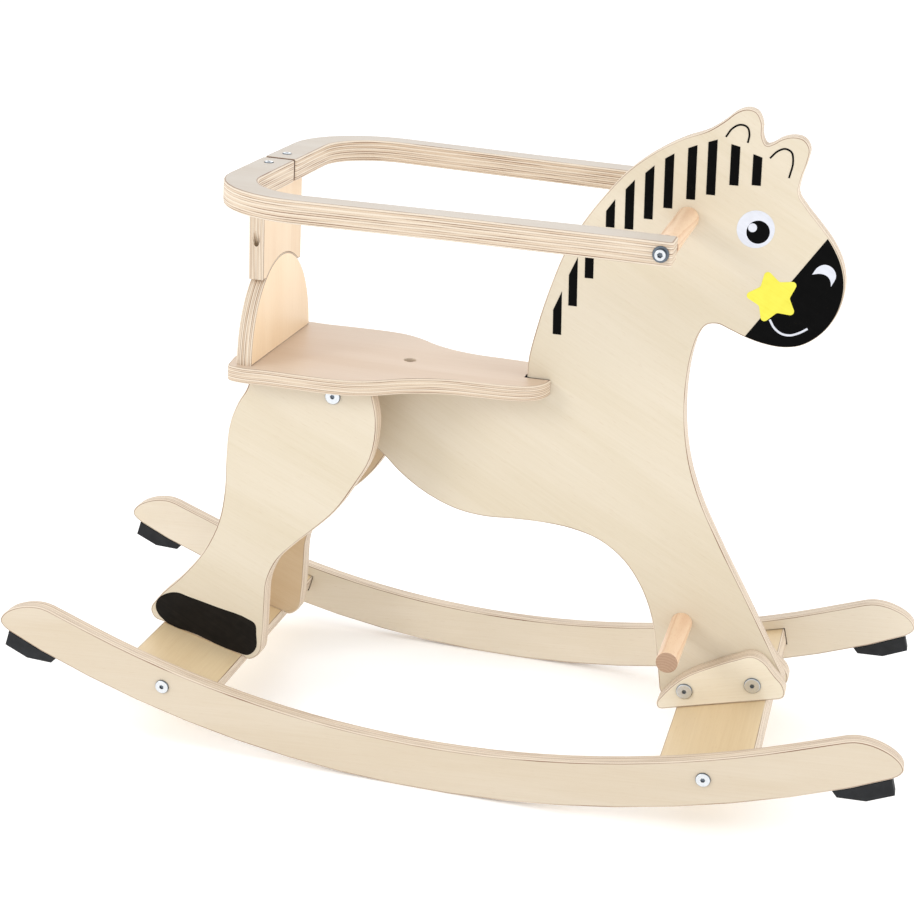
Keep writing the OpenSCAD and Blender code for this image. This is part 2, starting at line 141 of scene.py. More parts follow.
class Board:
    """How a board lies: a point on its middle plane, its turn (X along the face
    veneer's grain, Z through the board), thickness in mm and number of plies."""

    def __init__(self, middle, turn, thickness, plies, grain=0):
        self.middle = Vector(middle) * MM
        self.turn = turn @ turned(grain, "Z")
        self.thickness = thickness
        self.plies = plies
        self.axis = (self.turn @ Z_AXIS).normalized()


UPRIGHT = turned(90, "X")
ACROSS = Matrix(((0, 0, 1, 0), (0, -1, 0, 0), (1, 0, 0, 0), (0, 0, 0, 1)))
LACQUER = {"Coat_Weight": 0.12, "Coat_Roughness": 0.3, "IOR": 1.5}


def board_space(tree, board):
    """Object coordinates turned into the board's own frame, in metres."""
    place = add(tree, "ShaderNodeTexCoord").outputs["Object"]
    return add(tree, "ShaderNodeMapping",
               {"Vector": place, "Location": board.middle, "Rotation": board.turn.to_euler()},
               vector_type="TEXTURE")


# The scales of all patterns count features per metre: 16 is one every 62.5 mm
GRAIN = (16, 620, 620)    # streaks 60 mm long and 1.6 mm wide


def veneer(name, board, pale, dark, seed):
    """Birch face veneer, rotary cut, sanded and lacquered: a quiet cream sheet with broad
    soft bands of figure, fine grain along it and short darker pores."""
    material, tree = new_material(name)
    space = board_space(tree, board)
    # Figure: bands some 45 mm wide and 310 mm long
    wide = add(tree, "ShaderNodeVectorMath", {0: space, 1: (3.2, 22, 22)}, operation="MULTIPLY")
    bands = add(tree, "ShaderNodeTexNoise",
                {"Vector": wide, "W": seed, "Scale": 1, "Detail": 3, "Roughness": 0.5,
                 "Distortion": 0.6}, noise_dimensions="4D")
    fine = add(tree, "ShaderNodeVectorMath", {0: space, 1: GRAIN}, operation="MULTIPLY")
    streaks = add(tree, "ShaderNodeTexNoise",
                  {"Vector": fine, "W": seed + 3, "Scale": 1, "Detail": 2, "Roughness": 0.6},
                  noise_dimensions="4D")
    # Pores: real ones are 0.1 mm wide; drawn 0.7 mm wide and 8 mm long so that they show
    dashes = add(tree, "ShaderNodeVectorMath",
                 {0: space, 1: (120, 1500, 1500)}, operation="MULTIPLY")
    pores = add(tree, "ShaderNodeTexNoise",
                {"Vector": dashes, "W": seed + 7, "Scale": 1, "Detail": 1},
                noise_dimensions="4D")
    band = add(tree, "ShaderNodeMapRange", {"Value": bands, "From Min": 0.36, "From Max": 0.68},
               interpolation_type="SMOOTHSTEP")
    streak = add(tree, "ShaderNodeMapRange",
                 {"Value": streaks, "From Min": 0.35, "From Max": 0.75, "To Max": 0.34})
    pore = add(tree, "ShaderNodeMapRange",
               {"Value": pores, "From Min": 0.64, "From Max": 0.74, "To Max": 0.15})
    share = add(tree, "ShaderNodeMath", {0: band, 1: 0.45, 2: streak}, operation="MULTIPLY_ADD")
    sheet = add(tree, "ShaderNodeMix", {0: share, 6: linear(pale), 7: linear(dark)},
                data_type="RGBA")
    colour = add(tree, "ShaderNodeMix", {0: pore, 6: sheet, 7: linear("#b08d66")},
                 data_type="RGBA")
    satin = add(tree, "ShaderNodeMapRange",
                {"Value": bands, "To Min": 0.39, "To Max": 0.51})
    bump = add(tree, "ShaderNodeBump",
               {"Strength": 0.25, "Distance": 0.00012, "Height": streaks})
    finish_material(tree, colour, satin, bump, **LACQUER)
    return material


def ply_edge(name, board, cream, tan, glue, seed):
    """Cut edge of birch plywood: plies 1.4 to 1.6 mm thick, long grain and end grain in
    turn, with dark glue lines between them, clear lacquered."""
    material, tree = new_material(name)
    space = board_space(tree, board)
    depth = add(tree, "ShaderNodeSeparateXYZ", {"Vector": space}).outputs["Z"]
    # The veneers wander by up to 0.2 mm over some 60 mm
    wander = add(tree, "ShaderNodeTexNoise",
                 {"Vector": space, "W": seed, "Scale": 16, "Detail": 1},
                 noise_dimensions="4D")
    drift = add(tree, "ShaderNodeMapRange",
                {"Value": wander, "To Min": -0.3 * MM, "To Max": 0.3 * MM})
    level = add(tree, "ShaderNodeMath", {0: depth, 1: drift}, operation="ADD")
    ply = add(tree, "ShaderNodeMath",
              {0: level, 1: board.plies / (board.thickness * MM), 2: board.plies / 2},
              operation="MULTIPLY_ADD")
    # Every second ply shows its end grain, and no two have quite the same tone
    other = add(tree, "ShaderNodeMath", {0: ply, 1: 2}, operation="FLOORED_MODULO")
    end_ply = add(tree, "ShaderNodeMath", {0: other, 1: 1}, operation="GREATER_THAN")
    ply_index = add(tree, "ShaderNodeMath", {0: ply, 1: seed}, operation="ADD")
    whole = add(tree, "ShaderNodeMath", {0: ply_index}, operation="FLOOR")
    own = add(tree, "ShaderNodeTexWhiteNoise", {"W": whole}, noise_dimensions="1D")
    own_tone = add(tree, "ShaderNodeMapRange",
                   {"Value": own.outputs["Value"], "To Min": -0.2, "To Max": 0.25})
    # Each glue line comes and goes, thick and thin, over some 60 mm
    ply_number = add(tree, "ShaderNodeMath", {0: ply}, operation="ROUND")
    apart = add(tree, "ShaderNodeMath", {0: ply_number, 1: 3.7, 2: seed},
                operation="MULTIPLY_ADD")
    strength = add(tree, "ShaderNodeTexNoise",
                   {"Vector": space, "W": apart, "Scale": 17, "Detail": 1.5},
                   noise_dimensions="4D")
    # Glue lines: real ones are 0.1 mm thick; drawn about 0.3 mm so that they show
    near = add(tree, "ShaderNodeMath", {0: ply, 1: 0.5}, operation="PINGPONG")
    swell = add(tree, "ShaderNodeMapRange",
                {"Value": strength, "From Min": 0.3, "From Max": 0.7, "To Min": 0.07,
                 "To Max": -0.07})
    reach = add(tree, "ShaderNodeMath", {0: near, 1: swell}, operation="ADD")
    line = add(tree, "ShaderNodeMapRange",
               {"Value": reach, "From Min": 0.2, "From Max": 0.06})
    shown = add(tree, "ShaderNodeMapRange",
                {"Value": strength, "From Min": 0.36, "From Max": 0.62, "To Min": 0.1})
    # The line under the face veneer always shows, where the rim is rounded
    from_middle = add(tree, "ShaderNodeMath", {0: depth}, operation="ABSOLUTE")
    outermost = add(tree, "ShaderNodeMath",
                    {0: from_middle, 1: board.thickness * MM * (0.5 - 1.5 / board.plies)},
                    operation="GREATER_THAN")
    kept = add(tree, "ShaderNodeMath", {0: outermost, 1: 0.75}, operation="MULTIPLY")
    seen = add(tree, "ShaderNodeMath", {0: shown, 1: kept}, operation="MAXIMUM")
    glue_share = add(tree, "ShaderNodeMath", {0: line, 1: seen}, operation="MULTIPLY")
    # Cut fibres: specks of about 0.7 mm, stronger on the end-grain plies
    specks = add(tree, "ShaderNodeTexNoise",
                 {"Vector": space, "W": seed + 5, "Scale": 1400, "Detail": 2},
                 noise_dimensions="4D")
    fleck = add(tree, "ShaderNodeMapRange",
                {"Value": specks, "From Min": 0.42, "From Max": 0.75, "To Max": 0.3})
    tan_share = add(tree, "ShaderNodeMath", {0: end_ply, 1: 0.5, 2: own_tone},
                    operation="MULTIPLY_ADD", use_clamp=True)
    mixed = add(tree, "ShaderNodeMath", {0: tan_share, 1: fleck}, operation="ADD", use_clamp=True)
    wood = add(tree, "ShaderNodeMix", {0: mixed, 6: linear(cream), 7: linear(tan)},
               data_type="RGBA")
    colour = add(tree, "ShaderNodeMix", {0: glue_share, 6: wood, 7: linear(glue)},
                 data_type="RGBA")
    rough = add(tree, "ShaderNodeMapRange", {"Value": specks, "To Min": 0.5, "To Max": 0.66})
    height = add(tree, "ShaderNodeMath", {0: specks, 1: line}, operation="SUBTRACT")
    bump = add(tree, "ShaderNodeBump", {"Strength": 0.3, "Distance": 0.00015, "Height": height})
    finish_material(tree, colour, rough, bump, **LACQUER)
    return material


# ---- Other finishes ---------------------------------------------------------------

def beech(name, centre, pale, dark, rough):
    """Turned beech dowel along Y: warm pinkish wood with growth rings that show as long
    streaks on the side and as arcs on the end, and short dark ray flecks."""
    material, tree = new_material(name)
    place = add(tree, "ShaderNodeTexCoord").outputs["Object"]
    # The tree's heart lies 14 mm off the dowel's middle, and a little askew
    heart = Vector(centre) + Vector((-0.006, 0, -0.0125))
    tilted = Matrix.Rotation(radians(2.2), 3, "Z").to_euler()
    space = add(tree, "ShaderNodeMapping",
                {"Vector": place, "Location": heart, "Rotation": tilted}, vector_type="TEXTURE")
    axes = add(tree, "ShaderNodeSeparateXYZ", {"Vector": space})
    flat = add(tree, "ShaderNodeCombineXYZ", {"X": axes.outputs["X"], "Y": axes.outputs["Z"]})
    from_heart = add(tree, "ShaderNodeVectorMath", {0: flat}, operation="LENGTH").outputs["Value"]
    # The rings wander by up to 0.5 mm over some 40 mm
    shift = add(tree, "ShaderNodeTexNoise", {"Vector": space, "Scale": 26, "Detail": 2})
    wavy = add(tree, "ShaderNodeMath", {0: shift, 1: 1.6 * MM, 2: from_heart},
               operation="MULTIPLY_ADD")
    # Growth rings 2.4 mm apart, each darker towards its outer side
    ring = add(tree, "ShaderNodeMath", {0: wavy, 1: 2.4 * MM}, operation="FLOORED_MODULO")
    late = add(tree, "ShaderNodeMapRange",
               {"Value": ring, "From Min": 0.8 * MM, "From Max": 2.3 * MM},
               interpolation_type="SMOOTHSTEP")
    # Ray flecks 0.8 mm wide and 5 mm long
    along = add(tree, "ShaderNodeVectorMath",
                {0: space, 1: (1300, 190, 1300)}, operation="MULTIPLY")
    flecks = add(tree, "ShaderNodeTexNoise", {"Vector": along, "Scale": 1, "Detail": 2})
    fleck = add(tree, "ShaderNodeMapRange",
                {"Value": flecks, "From Min": 0.55, "From Max": 0.72, "To Max": 0.45})
    share = add(tree, "ShaderNodeMath", {0: late, 1: 0.6, 2: fleck}, operation="MULTIPLY_ADD",
                use_clamp=True)
    colour = add(tree, "ShaderNodeMix", {0: share, 6: linear(pale), 7: linear(dark)},
                 data_type="RGBA")
    satin = add(tree, "ShaderNodeMapRange",
                {"Value": flecks, "To Min": rough - 0.05, "To Max": rough + 0.05})
    bump = add(tree, "ShaderNodeBump", {"Strength": 0.25, "Distance": 0.0001, "Height": flecks})
    finish_material(tree, colour, satin, bump, **LACQUER)
    return material


def moulded_rubber():
    """Moulded black rubber: charcoal and dull, with the fine spark-eroded grain of the
    mould, and a faint bloom where the grain stands up."""
    material, tree = new_material("moulded_rubber")
    place = add(tree, "ShaderNodeTexCoord").outputs["Object"]
    # Mould grain 0.6 mm apart, bloom in clouds 11 mm across
    grain = add(tree, "ShaderNodeTexNoise", {"Vector": place, "Scale": 1700, "Detail": 3})
    bloom = add(tree, "ShaderNodeTexNoise", {"Vector": place, "Scale": 90, "Detail": 3})
    both = add(tree, "ShaderNodeMath", {0: grain, 1: bloom}, operation="MULTIPLY")
    share = add(tree, "ShaderNodeMapRange", {"Value": both, "From Min": 0.12, "From Max": 0.42})
    colour = add(tree, "ShaderNodeMix", {0: share, 6: linear("#141517"), 7: linear("#25272a")},
                 data_type="RGBA")
    rough = add(tree, "ShaderNodeMapRange", {"Value": grain, "To Min": 0.62, "To Max": 0.82})
    bump = add(tree, "ShaderNodeBump", {"Strength": 0.5, "Distance": 0.0002, "Height": grain})
    finish_material(tree, colour, rough, bump, IOR=1.52, Specular_IOR_Level=0.3)
    return material


def zinc_plate(name, bright, dull, smooth):
    """Zinc-plated steel, turned or pressed and then barrel plated: bright blue-white metal
    with a slight mottle and small handling marks."""
    material, tree = new_material(name)
    place = add(tree, "ShaderNodeTexCoord").outputs["Object"]
    # Mottle of the plating 2 mm across, handling marks 0.4 mm across
    mottle = add(tree, "ShaderNodeTexNoise", {"Vector": place, "Scale": 500, "Detail": 2})
    marks = add(tree, "ShaderNodeTexNoise", {"Vector": place, "Scale": 2400, "Detail": 2})
    colour = add(tree, "ShaderNodeMix", {0: mottle, 6: linear(bright), 7: linear(dull)},
                 data_type="RGBA")
    rough = add(tree, "ShaderNodeMapRange",
                {"Value": marks, "To Min": smooth - 0.06, "To Max": smooth + 0.1})
    bump = add(tree, "ShaderNodeBump", {"Strength": 0.12, "Distance": 0.00008, "Height": marks})
    finish_material(tree, colour, rough, bump, Metallic=1.0)
    return material


def screen_print(name, ink, thin, board, seed):
    """Screen-printed ink on birch: a solid even coat, a shade lighter where the screen
    laid it thin, with the veneer's grain just felt through it."""
    material, tree = new_material(name)
    space = board_space(tree, board)
    fine = add(tree, "ShaderNodeVectorMath", {0: space, 1: GRAIN}, operation="MULTIPLY")
    grain = add(tree, "ShaderNodeTexNoise",
                {"Vector": fine, "W": seed + 3, "Scale": 1, "Detail": 2}, noise_dimensions="4D")
    # The coat thins and thickens over some 6 mm
    coat = add(tree, "ShaderNodeTexNoise", {"Vector": space, "Scale": 160, "Detail": 3})
    both = add(tree, "ShaderNodeMath", {0: grain, 1: coat}, operation="MULTIPLY")
    share = add(tree, "ShaderNodeMapRange", {"Value": both, "From Min": 0.15, "From Max": 0.45})
    colour = add(tree, "ShaderNodeMix", {0: share, 6: linear(ink), 7: linear(thin)},
                 data_type="RGBA")
    satin = add(tree, "ShaderNodeMapRange",
                {"Value": coat, "To Min": 0.38, "To Max": 0.5})
    bump = add(tree, "ShaderNodeBump", {"Strength": 0.2, "Distance": 0.0001, "Height": grain})
    finish_material(tree, colour, satin, bump, IOR=1.5, Specular_IOR_Level=0.06)
    return material


# ---- Workshop -----------------------------------------------------------------------

def deselect():
    if bpy.context.object and bpy.context.object.mode != "OBJECT":
        bpy.ops.object.mode_set(mode="OBJECT")
    for thing in bpy.context.selected_objects:
        thing.select_set(False)


def take(piece):
    """Makes a piece the only selected one, and the active one."""
    deselect()
    piece.select_set(True)
    bpy.context.view_layer.objects.active = piece


def edit(piece, kind="FACE"):
    """Opens a piece for editing with nothing selected."""
    take(piece)
    bpy.ops.object.mode_set(mode="EDIT")
    bpy.ops.mesh.select_mode(type=kind)
    bpy.ops.mesh.select_all(action="DESELECT")
    return bmesh.from_edit_mesh(piece.data)


def choose(piece, parts):
    """Selects faces or edges of the piece that is open for editing."""
    for part in parts:
        part.select_set(True)
    bmesh.update_edit_mesh(piece.data)


def settle(piece, smooth=32):
    """Leaves edit mode, fixes the piece's place in its mesh and smooths its shading."""
    bpy.ops.object.mode_set(mode="OBJECT")
    take(piece)
    bpy.ops.object.transform_apply(location=True, rotation=True, scale=True)
    bpy.ops.object.shade_smooth_by_angle(angle=radians(smooth))
    piece.modifiers.new("even_normals", "WEIGHTED_NORMAL").keep_sharp = True
    bpy.ops.object.modifier_apply(modifier="even_normals")


def hand_over(piece, node):
    """Tells the frame what a finished piece rides on, and hides the CAD node that it stands for.
    """
    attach(piece, "root")
    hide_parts(node)
    return piece


def from_frame(node):
    """Copies a CAD node's mesh into a new piece and welds its loose triangles."""
    piece = bpy.data.objects.new(node + "_piece", NODES[node].data.copy())
    bpy.context.scene.collection.objects.link(piece)
    piece.data.materials.clear()
    edit(piece)
    bpy.ops.mesh.select_all(action="SELECT")
    bpy.ops.mesh.remove_doubles(threshold=0.01 * MM)
    bpy.ops.mesh.dissolve_limited(angle_limit=radians(0.3))
    return piece


def rims(work, axis, shortest):
    """Edges between a board's faces and its sides, except those round small holes."""
    def on_rim(edge):
        if len(edge.link_faces) != 2:
            return False
        a, b = [abs(f.normal.dot(axis)) > SQUARE for f in edge.link_faces]
        return a != b and edge.calc_face_angle(0) > radians(25)

    left, chosen = {e for e in work.edges if on_rim(e)}, []
    while left:
        loop, reach = [], [left.pop()]
        while reach:
            edge = reach.pop()
            loop.append(edge)
            beside = {e for v in edge.verts for e in v.link_edges if e in left}
            left -= beside
            reach += beside
        if sum(e.calc_length() for e in loop) > shortest:
            chosen += loop
    return chosen


def ease(piece, axis, width, shortest=0.2):
    """Rounds a board's rims as a router bit does; holes and mortises stay crisp."""
    work = edit(piece, "EDGE")
    choose(piece, rims(work, axis, shortest))
    bpy.ops.mesh.bevel(offset=width * MM, segments=3, profile=0.5, clamp_overlap=False,
                       loop_slide=False)


def in_mortise(centre):
    """Whether a point lies in one of the pockets that take the crossboards' ends."""
    inner_face = ROCKER_FACE - ROCKER_T
    for end, _ in ENDS:
        x, y, z = on_board(end).inverted() @ centre / MM
        within = inner_face + 0.2 < abs(y) < inner_face + MORTISE_DEPTH + 1
        if within and abs(x) < 41 and -17 < z < 2:
            return True
    return False


def in_rail_joint(centre):
    """Whether a point lies on the sawn ends where the two halves of the rail meet."""
    return abs(centre.y) < 2.2 * MM and centre.x < 0


# ---- Boards ---------------------------------------------------------------------------

# Each tone is a veneer's pale and dark colour, and EDGE is cream ply, tan ply and glue
CREAM = ("#d8cdb9", "#cec1a7")
BRACKET_TONE = ("#ece3d0", "#e2d6bd")
SEAT_TONE = ("#d2beaa", "#c6ac92")
# The rails' tone is greyer and darker than the other veneers: a painted sheen for the lacquer's
# grey reflection and painted shade on the rails' tops
RAIL_PAINTED_SHEEN_TONE = ("#bdb4a8", "#b2a392")
# Painted light: the arch's and the post's tones are lifted to brighten their shaded front faces;
# REST_BACK is the plainer tone that their back faces keep
ARCH_PAINTED_LIGHT = ("#f7dfbe", "#edcfa8")
POST_PAINTED_LIGHT = ("#ead4b6", "#dfc19e")
BOARD_TONE = ("#dcc7a2", "#cfb58c")
NEAR_ROCKER = ("#d1c4b0", "#c7b69c")
# Painted shade: a browner tone for the hind legs' inner faces, which face the body
LEG_INNER_PAINTED_SHADE = ("#cdb899", "#c1a784")
REST_BACK = ("#e0cdb0", "#d3be9c")
FAR_ROCKER = ("#e0d5c3", "#d6c8b0")
EDGE = ("#e0d3c0", "#c8b095", "#83624b")
# Painted shade: a dark brown ply edge for walls in dark gaps, the mortises' walls and the rail's
# sawn ends where its halves meet
PAINTED_SHADE_EDGE = ("#6b4f38", "#543c2a", "#33241a")


def plywood(node, board, tones, seed, width=1.3, shaded_walls=None):
    """One plywood board: rims eased, veneer on its two faces and plies on its sides. Walls
    that the given test picks out get a dark brown ply edge as painted shade for the dark gaps
    there."""
    piece = from_frame(node)
    ease(piece, board.axis, width)
    settle(piece)
    piece.data.materials.append(veneer(node + "_birch_veneer", board, *tones, seed))
    piece.data.materials.append(ply_edge(node + "_birch_ply_edge", board, *EDGE, seed))
    if shaded_walls:
        piece.data.materials.append(ply_edge(node + "_painted_shade_edge", board, *PAINTED_SHADE_EDGE, 1.0))
    for face in piece.data.polygons:
        face.material_index = 0 if abs(face.normal.dot(board.axis)) > SQUARE else 1
        if shaded_walls and shaded_walls(face.center):
            face.material_index = 2
    return hand_over(piece, node)


def face_tone_for_light(piece, board, way, tones, seed):
    """The face that looks this way gets a second tone, so that the board's two faces differ as
    painted light and shade: painted shade on a hind leg's inner face, and the plainer tone behind
    the backrest's painted light.
    """
    piece.data.materials.append(veneer(piece.name + "_face_tone_for_light", board, *tones, seed))
    for face in piece.data.polygons:
        if face.normal.dot(way) > SQUARE:
            face.material_index = len(piece.data.materials) - 1


BODY = Board((0, 0, 0), UPRIGHT, BODY_T, 11, grain=-28)
SEAT = Board((0, 0, SEAT_MIDDLE), Matrix(), SEAT_T, 9)
BACK = Board((BACK_MIDDLE, 0, 0), ACROSS, BACK_T, 9)
plywood("body_panel", BODY, CREAM, 1.0, width=1.1)
plywood("seat_board", SEAT, SEAT_TONE, 2.0)
# The backrest's front faces carry the lifted tone as painted light, and its back faces the plainer
# REST_BACK tone
arch = plywood("backrest_arch", BACK, ARCH_PAINTED_LIGHT, 3.0, width=0.9)
face_tone_for_light(arch, BACK, -X_AXIS, REST_BACK, 53)
post = plywood("backrest_post", BACK, POST_PAINTED_LIGHT, 4.0, width=0.9)
face_tone_for_light(post, BACK, -X_AXIS, REST_BACK, 54)

for side, hand in SIDES:
    seed = 5 + side
    rail_middle = ON_RAIL @ (Vector((0, 0, -RAIL_T / 2)) * MM) / MM
    rail = Board(rail_middle, turned(RAIL_SLOPE, "Y"), RAIL_T, 11)
    # The rail's sawn ends where its halves meet get painted shade for the dark gap between them
    plywood("rail_" + hand, rail, RAIL_PAINTED_SHEEN_TONE, seed, width=1.5, shaded_walls=in_rail_joint)
    sheet = Board((0, side * (LEG_FACE - LEG_T / 2), 0), UPRIGHT, LEG_T, 11, grain=-24)
    leg = plywood("hind_leg_" + hand, sheet, CREAM, seed + 10)
    # The leg's inner face, towards the body, gets the browner tone as painted shade
    face_tone_for_light(leg, sheet, -side * Y_AXIS, LEG_INNER_PAINTED_SHADE, seed + 50)
    block_t = LEG_FACE - LEG_T - BODY_T / 2
    block = Board((0, side * (BODY_T + block_t) / 2, 0), UPRIGHT, block_t, 27)
    plywood("hip_block_" + hand, block, POST_PAINTED_LIGHT, seed + 20, width=0.8)
    band = Board((0, side * (ROCKER_FACE - ROCKER_T / 2), 0), UPRIGHT, ROCKER_T, 9, grain=4)
    tones = NEAR_ROCKER if side == RIGHT else FAR_ROCKER
    # The mortise walls round each crossboard's end get painted shade for the dark gap there
    plywood("rocker_" + hand, band, tones, seed + 30, shaded_walls=in_mortise)
    shoe = Board((0, side * (BRACKET_FACE - BRACKET_T / 2), 0),
                 UPRIGHT @ turned(BOARD_ANGLE, "Z"), BRACKET_T, 11)
    plywood("front_bracket_" + hand, shoe, BRACKET_TONE, seed + 40)

for end, where in ENDS:
    middle = on_board(end) @ (Vector((0, 0, -BOARD_T / 2)) * MM) / MM
    across = Board(middle, turned(-end * BOARD_ANGLE, "Y"), BOARD_T, 11, grain=90)
    plywood(where + "_crossboard", across, BOARD_TONE, 60 + end)


# ---- Dowels -----------------------------------------------------------------------------

def dowel(node, hole_r=0, hole_depth=0):
    """Beech dowel along Y with chamfered ends, drilled for a bolt where it needs one."""
    low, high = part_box(node)
    middle, radius = (low + high) / 2, (high.z - low.z) / 2
    deselect()
    bpy.ops.mesh.primitive_cylinder_add(vertices=96, radius=radius, depth=high.y - low.y,
                                        location=middle, rotation=(pi / 2, 0, 0))
    piece = bpy.context.object
    piece.name = node + "_piece"
    bpy.ops.object.transform_apply(location=True, rotation=True, scale=True)
    for way in (-1, 1) if hole_depth else ():
        work = edit(piece)
        choose(piece, [f for f in work.faces if f.normal.y * way > 0.9])
        bpy.ops.mesh.inset(thickness=radius - hole_r)
        bpy.ops.mesh.extrude_region_move(
            TRANSFORM_OT_translate={"value": (0, -way * hole_depth, 0)})
    work = edit(piece, "EDGE")
    choose(piece, [e for e in work.edges if e.calc_face_angle(0) > 1
                   and (e.verts[0].co - middle).xz.length > 0.9 * radius])
    bpy.ops.mesh.bevel(offset=1.1 * MM, segments=3, profile=0.5)
    settle(piece)
    side_grain = beech(node + "_beech", middle, "#e7c8a8", "#d5ab87", 0.42)
    end_grain = beech(node + "_beech_end_grain", middle, "#b09077", "#9e7c60", 0.6)
    piece.data.materials.append(side_grain)
    piece.data.materials.append(end_grain)
    for face in piece.data.polygons:
        face.material_index = 1 if abs(face.normal.y) > 0.6 else 0
    return hand_over(piece, node)


dowel("handlebar", hole_r=2.7 * MM, hole_depth=30 * MM)
dowel("footrest")


# ---- Bolts and screws ----------------------------------------------------------------------

ZINC = zinc_plate("bright_zinc_plate", "#e8ebee", "#ccd1d6", 0.34)
# Darker zinc: painted shade in the bolts' sockets and a painted dark outline round their heads'
# steep edges; the washers are wholly of it
DULL_AND_SHADE_ZINC = zinc_plate("dull_zinc_and_painted_shade", "#7b848d", "#5f6872", 0.36)


def bolt(head_r, shank_r, shank_l, dome, head_h=1.8, socket_r=2.0, bore_r=0):
    """Button-head bolt or screw along -Z, with a hexagon socket; its seat is at Z = 0. The
    dome is how far its head is rounded. One with a bore is a sleeve nut."""
    deselect()
    bpy.ops.mesh.primitive_cylinder_add(vertices=48, radius=head_r * MM, depth=head_h * MM,
                                        location=(0, 0, head_h * MM / 2))
    piece = bpy.context.object
    bpy.ops.object.transform_apply(location=True, rotation=True, scale=True)
    work = edit(piece)
    choose(piece, [f for f in work.faces if f.normal.z < -0.9])
    bpy.ops.mesh.inset(thickness=(head_r - shank_r) * MM)
    bpy.ops.mesh.extrude_region_move(TRANSFORM_OT_translate={"value": (0, 0, -shank_l * MM)})
    if bore_r:
        bpy.ops.mesh.inset(thickness=(shank_r - bore_r) * MM)
        bpy.ops.mesh.extrude_region_move(
            TRANSFORM_OT_translate={"value": (0, 0, (shank_l - 1) * MM)})
    else:
        bpy.ops.mesh.inset(thickness=shank_r * 0.3 * MM)
        bpy.ops.transform.translate(value=(0, 0, -shank_r * 0.5 * MM))
    work = edit(piece, "EDGE")
    near_top = 0.99 * head_h * MM
    choose(piece, [e for e in work.edges if all(v.co.z > near_top for v in e.verts)])
    bpy.ops.mesh.bevel(offset=dome * MM, segments=5, profile=0.5)
    bpy.ops.object.mode_set(mode="OBJECT")
    deselect()
    depth = head_h * MM * 0.75
    bpy.ops.mesh.primitive_cylinder_add(vertices=6, radius=socket_r * MM, depth=2 * depth,
                                        location=(0, 0, head_h * MM), rotation=(0, 0, 0.3))
    key = bpy.context.object
    hole = piece.modifiers.new("socket", "BOOLEAN")
    hole.operation, hole.object, hole.solver = "DIFFERENCE", key, "EXACT"
    take(piece)
    bpy.ops.object.modifier_apply(modifier="socket")
    bpy.data.objects.remove(key)
    chamfer = piece.modifiers.new("key_lead_in", "BEVEL")
    chamfer.width, chamfer.segments, chamfer.limit_method = 0.15 * MM, 2, "ANGLE"
    chamfer.angle_limit = radians(60)
    bpy.ops.object.modifier_apply(modifier="key_lead_in")
    # The socket and the head's steep edge get the darker zinc as painted shade: a dark socket and
    # a dark outline round the head
    piece.data.materials.append(ZINC)
    piece.data.materials.append(DULL_AND_SHADE_ZINC)
    for face in piece.data.polygons:
        reach = Vector(face.center).xy.length / MM
        in_socket = reach < socket_r and 0 < face.center.z < head_h * 0.98 * MM
        on_edge = reach > head_r - 0.45 * dome and face.normal.z < 0.75
        face.material_index = 1 if in_socket or on_edge else 0
    return piece


def set_out(model, node, places):
    """Copies the model to each place, joins the copies into one piece and hands it over."""
    copies = []
    for place in places:
        one = model.copy()
        one.data = model.data.copy()
        one.data.transform(place)
        bpy.context.scene.collection.objects.link(one)
        copies.append(one)
    bpy.data.objects.remove(model)
    take(copies[0])
    for one in copies:
        one.select_set(True)
    bpy.ops.object.join()
    piece = copies[0]
    piece.name = node + "_piece"
    settle(piece, smooth=38)
    return hand_over(piece, node)


WASHER_T = 1.2
BRACKET_BOLTS = (-29, 29)    # along the crossboard
BRACKET_BOLT_H = 15          # above the crossboard
HIP_X, HIP_H = -113, 301
SEAT_SCREW = (-65, 0, 315)
RAIL_SCREWS = (-185.5, 22, -1)    # on the rail's top face, sunk 1 mm
POCKET_Y, POCKET_H, POCKET_TILT, POCKET_DEPTH = 46.5, 422, 27, 16
HANDLE_X = 156
HANDLE_H = (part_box("handlebar")[0].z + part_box("handlebar")[1].z) / 2 / MM

set_out(bolt(head_r=6, shank_r=3, shank_l=46, dome=0.9), "rocker_bolts",
        [on_board(end) @ inwards(side, 0, ROCKER_FACE, -BOARD_T / 2)
         for end, _ in ENDS for side, _ in SIDES])
set_out(bolt(head_r=7, shank_r=2.5, shank_l=30, dome=1.1), "bracket_bolts",
        [on_board(FRONT) @ inwards(RIGHT, u, BRACKET_FACE, BRACKET_BOLT_H) for u in BRACKET_BOLTS])
set_out(bolt(head_r=7, shank_r=3, shank_l=20, dome=1.1, bore_r=2.6), "bracket_sleeve_nuts",
        [on_board(FRONT) @ inwards(LEFT, u, BRACKET_FACE, BRACKET_BOLT_H) for u in BRACKET_BOLTS])
set_out(bolt(head_r=6.5, shank_r=3, shank_l=43, dome=1.0), "hip_bolts",
        [inwards(side, HIP_X, LEG_FACE, HIP_H) for side, _ in SIDES])
set_out(bolt(head_r=4.2, shank_r=2.5, shank_l=48, dome=0.5, head_h=3, socket_r=2.1),
        "rail_bolts",
        [inwards(side, HANDLE_X, RAIL_FACE + WASHER_T, HANDLE_H) for side, _ in SIDES])
set_out(bolt(head_r=3.8, shank_r=2, shank_l=43, dome=0.7, socket_r=1.6), "rail_screws",
        [ON_RAIL @ moved(RAIL_SCREWS[0], side * RAIL_SCREWS[1], RAIL_SCREWS[2])
         for side, _ in SIDES])
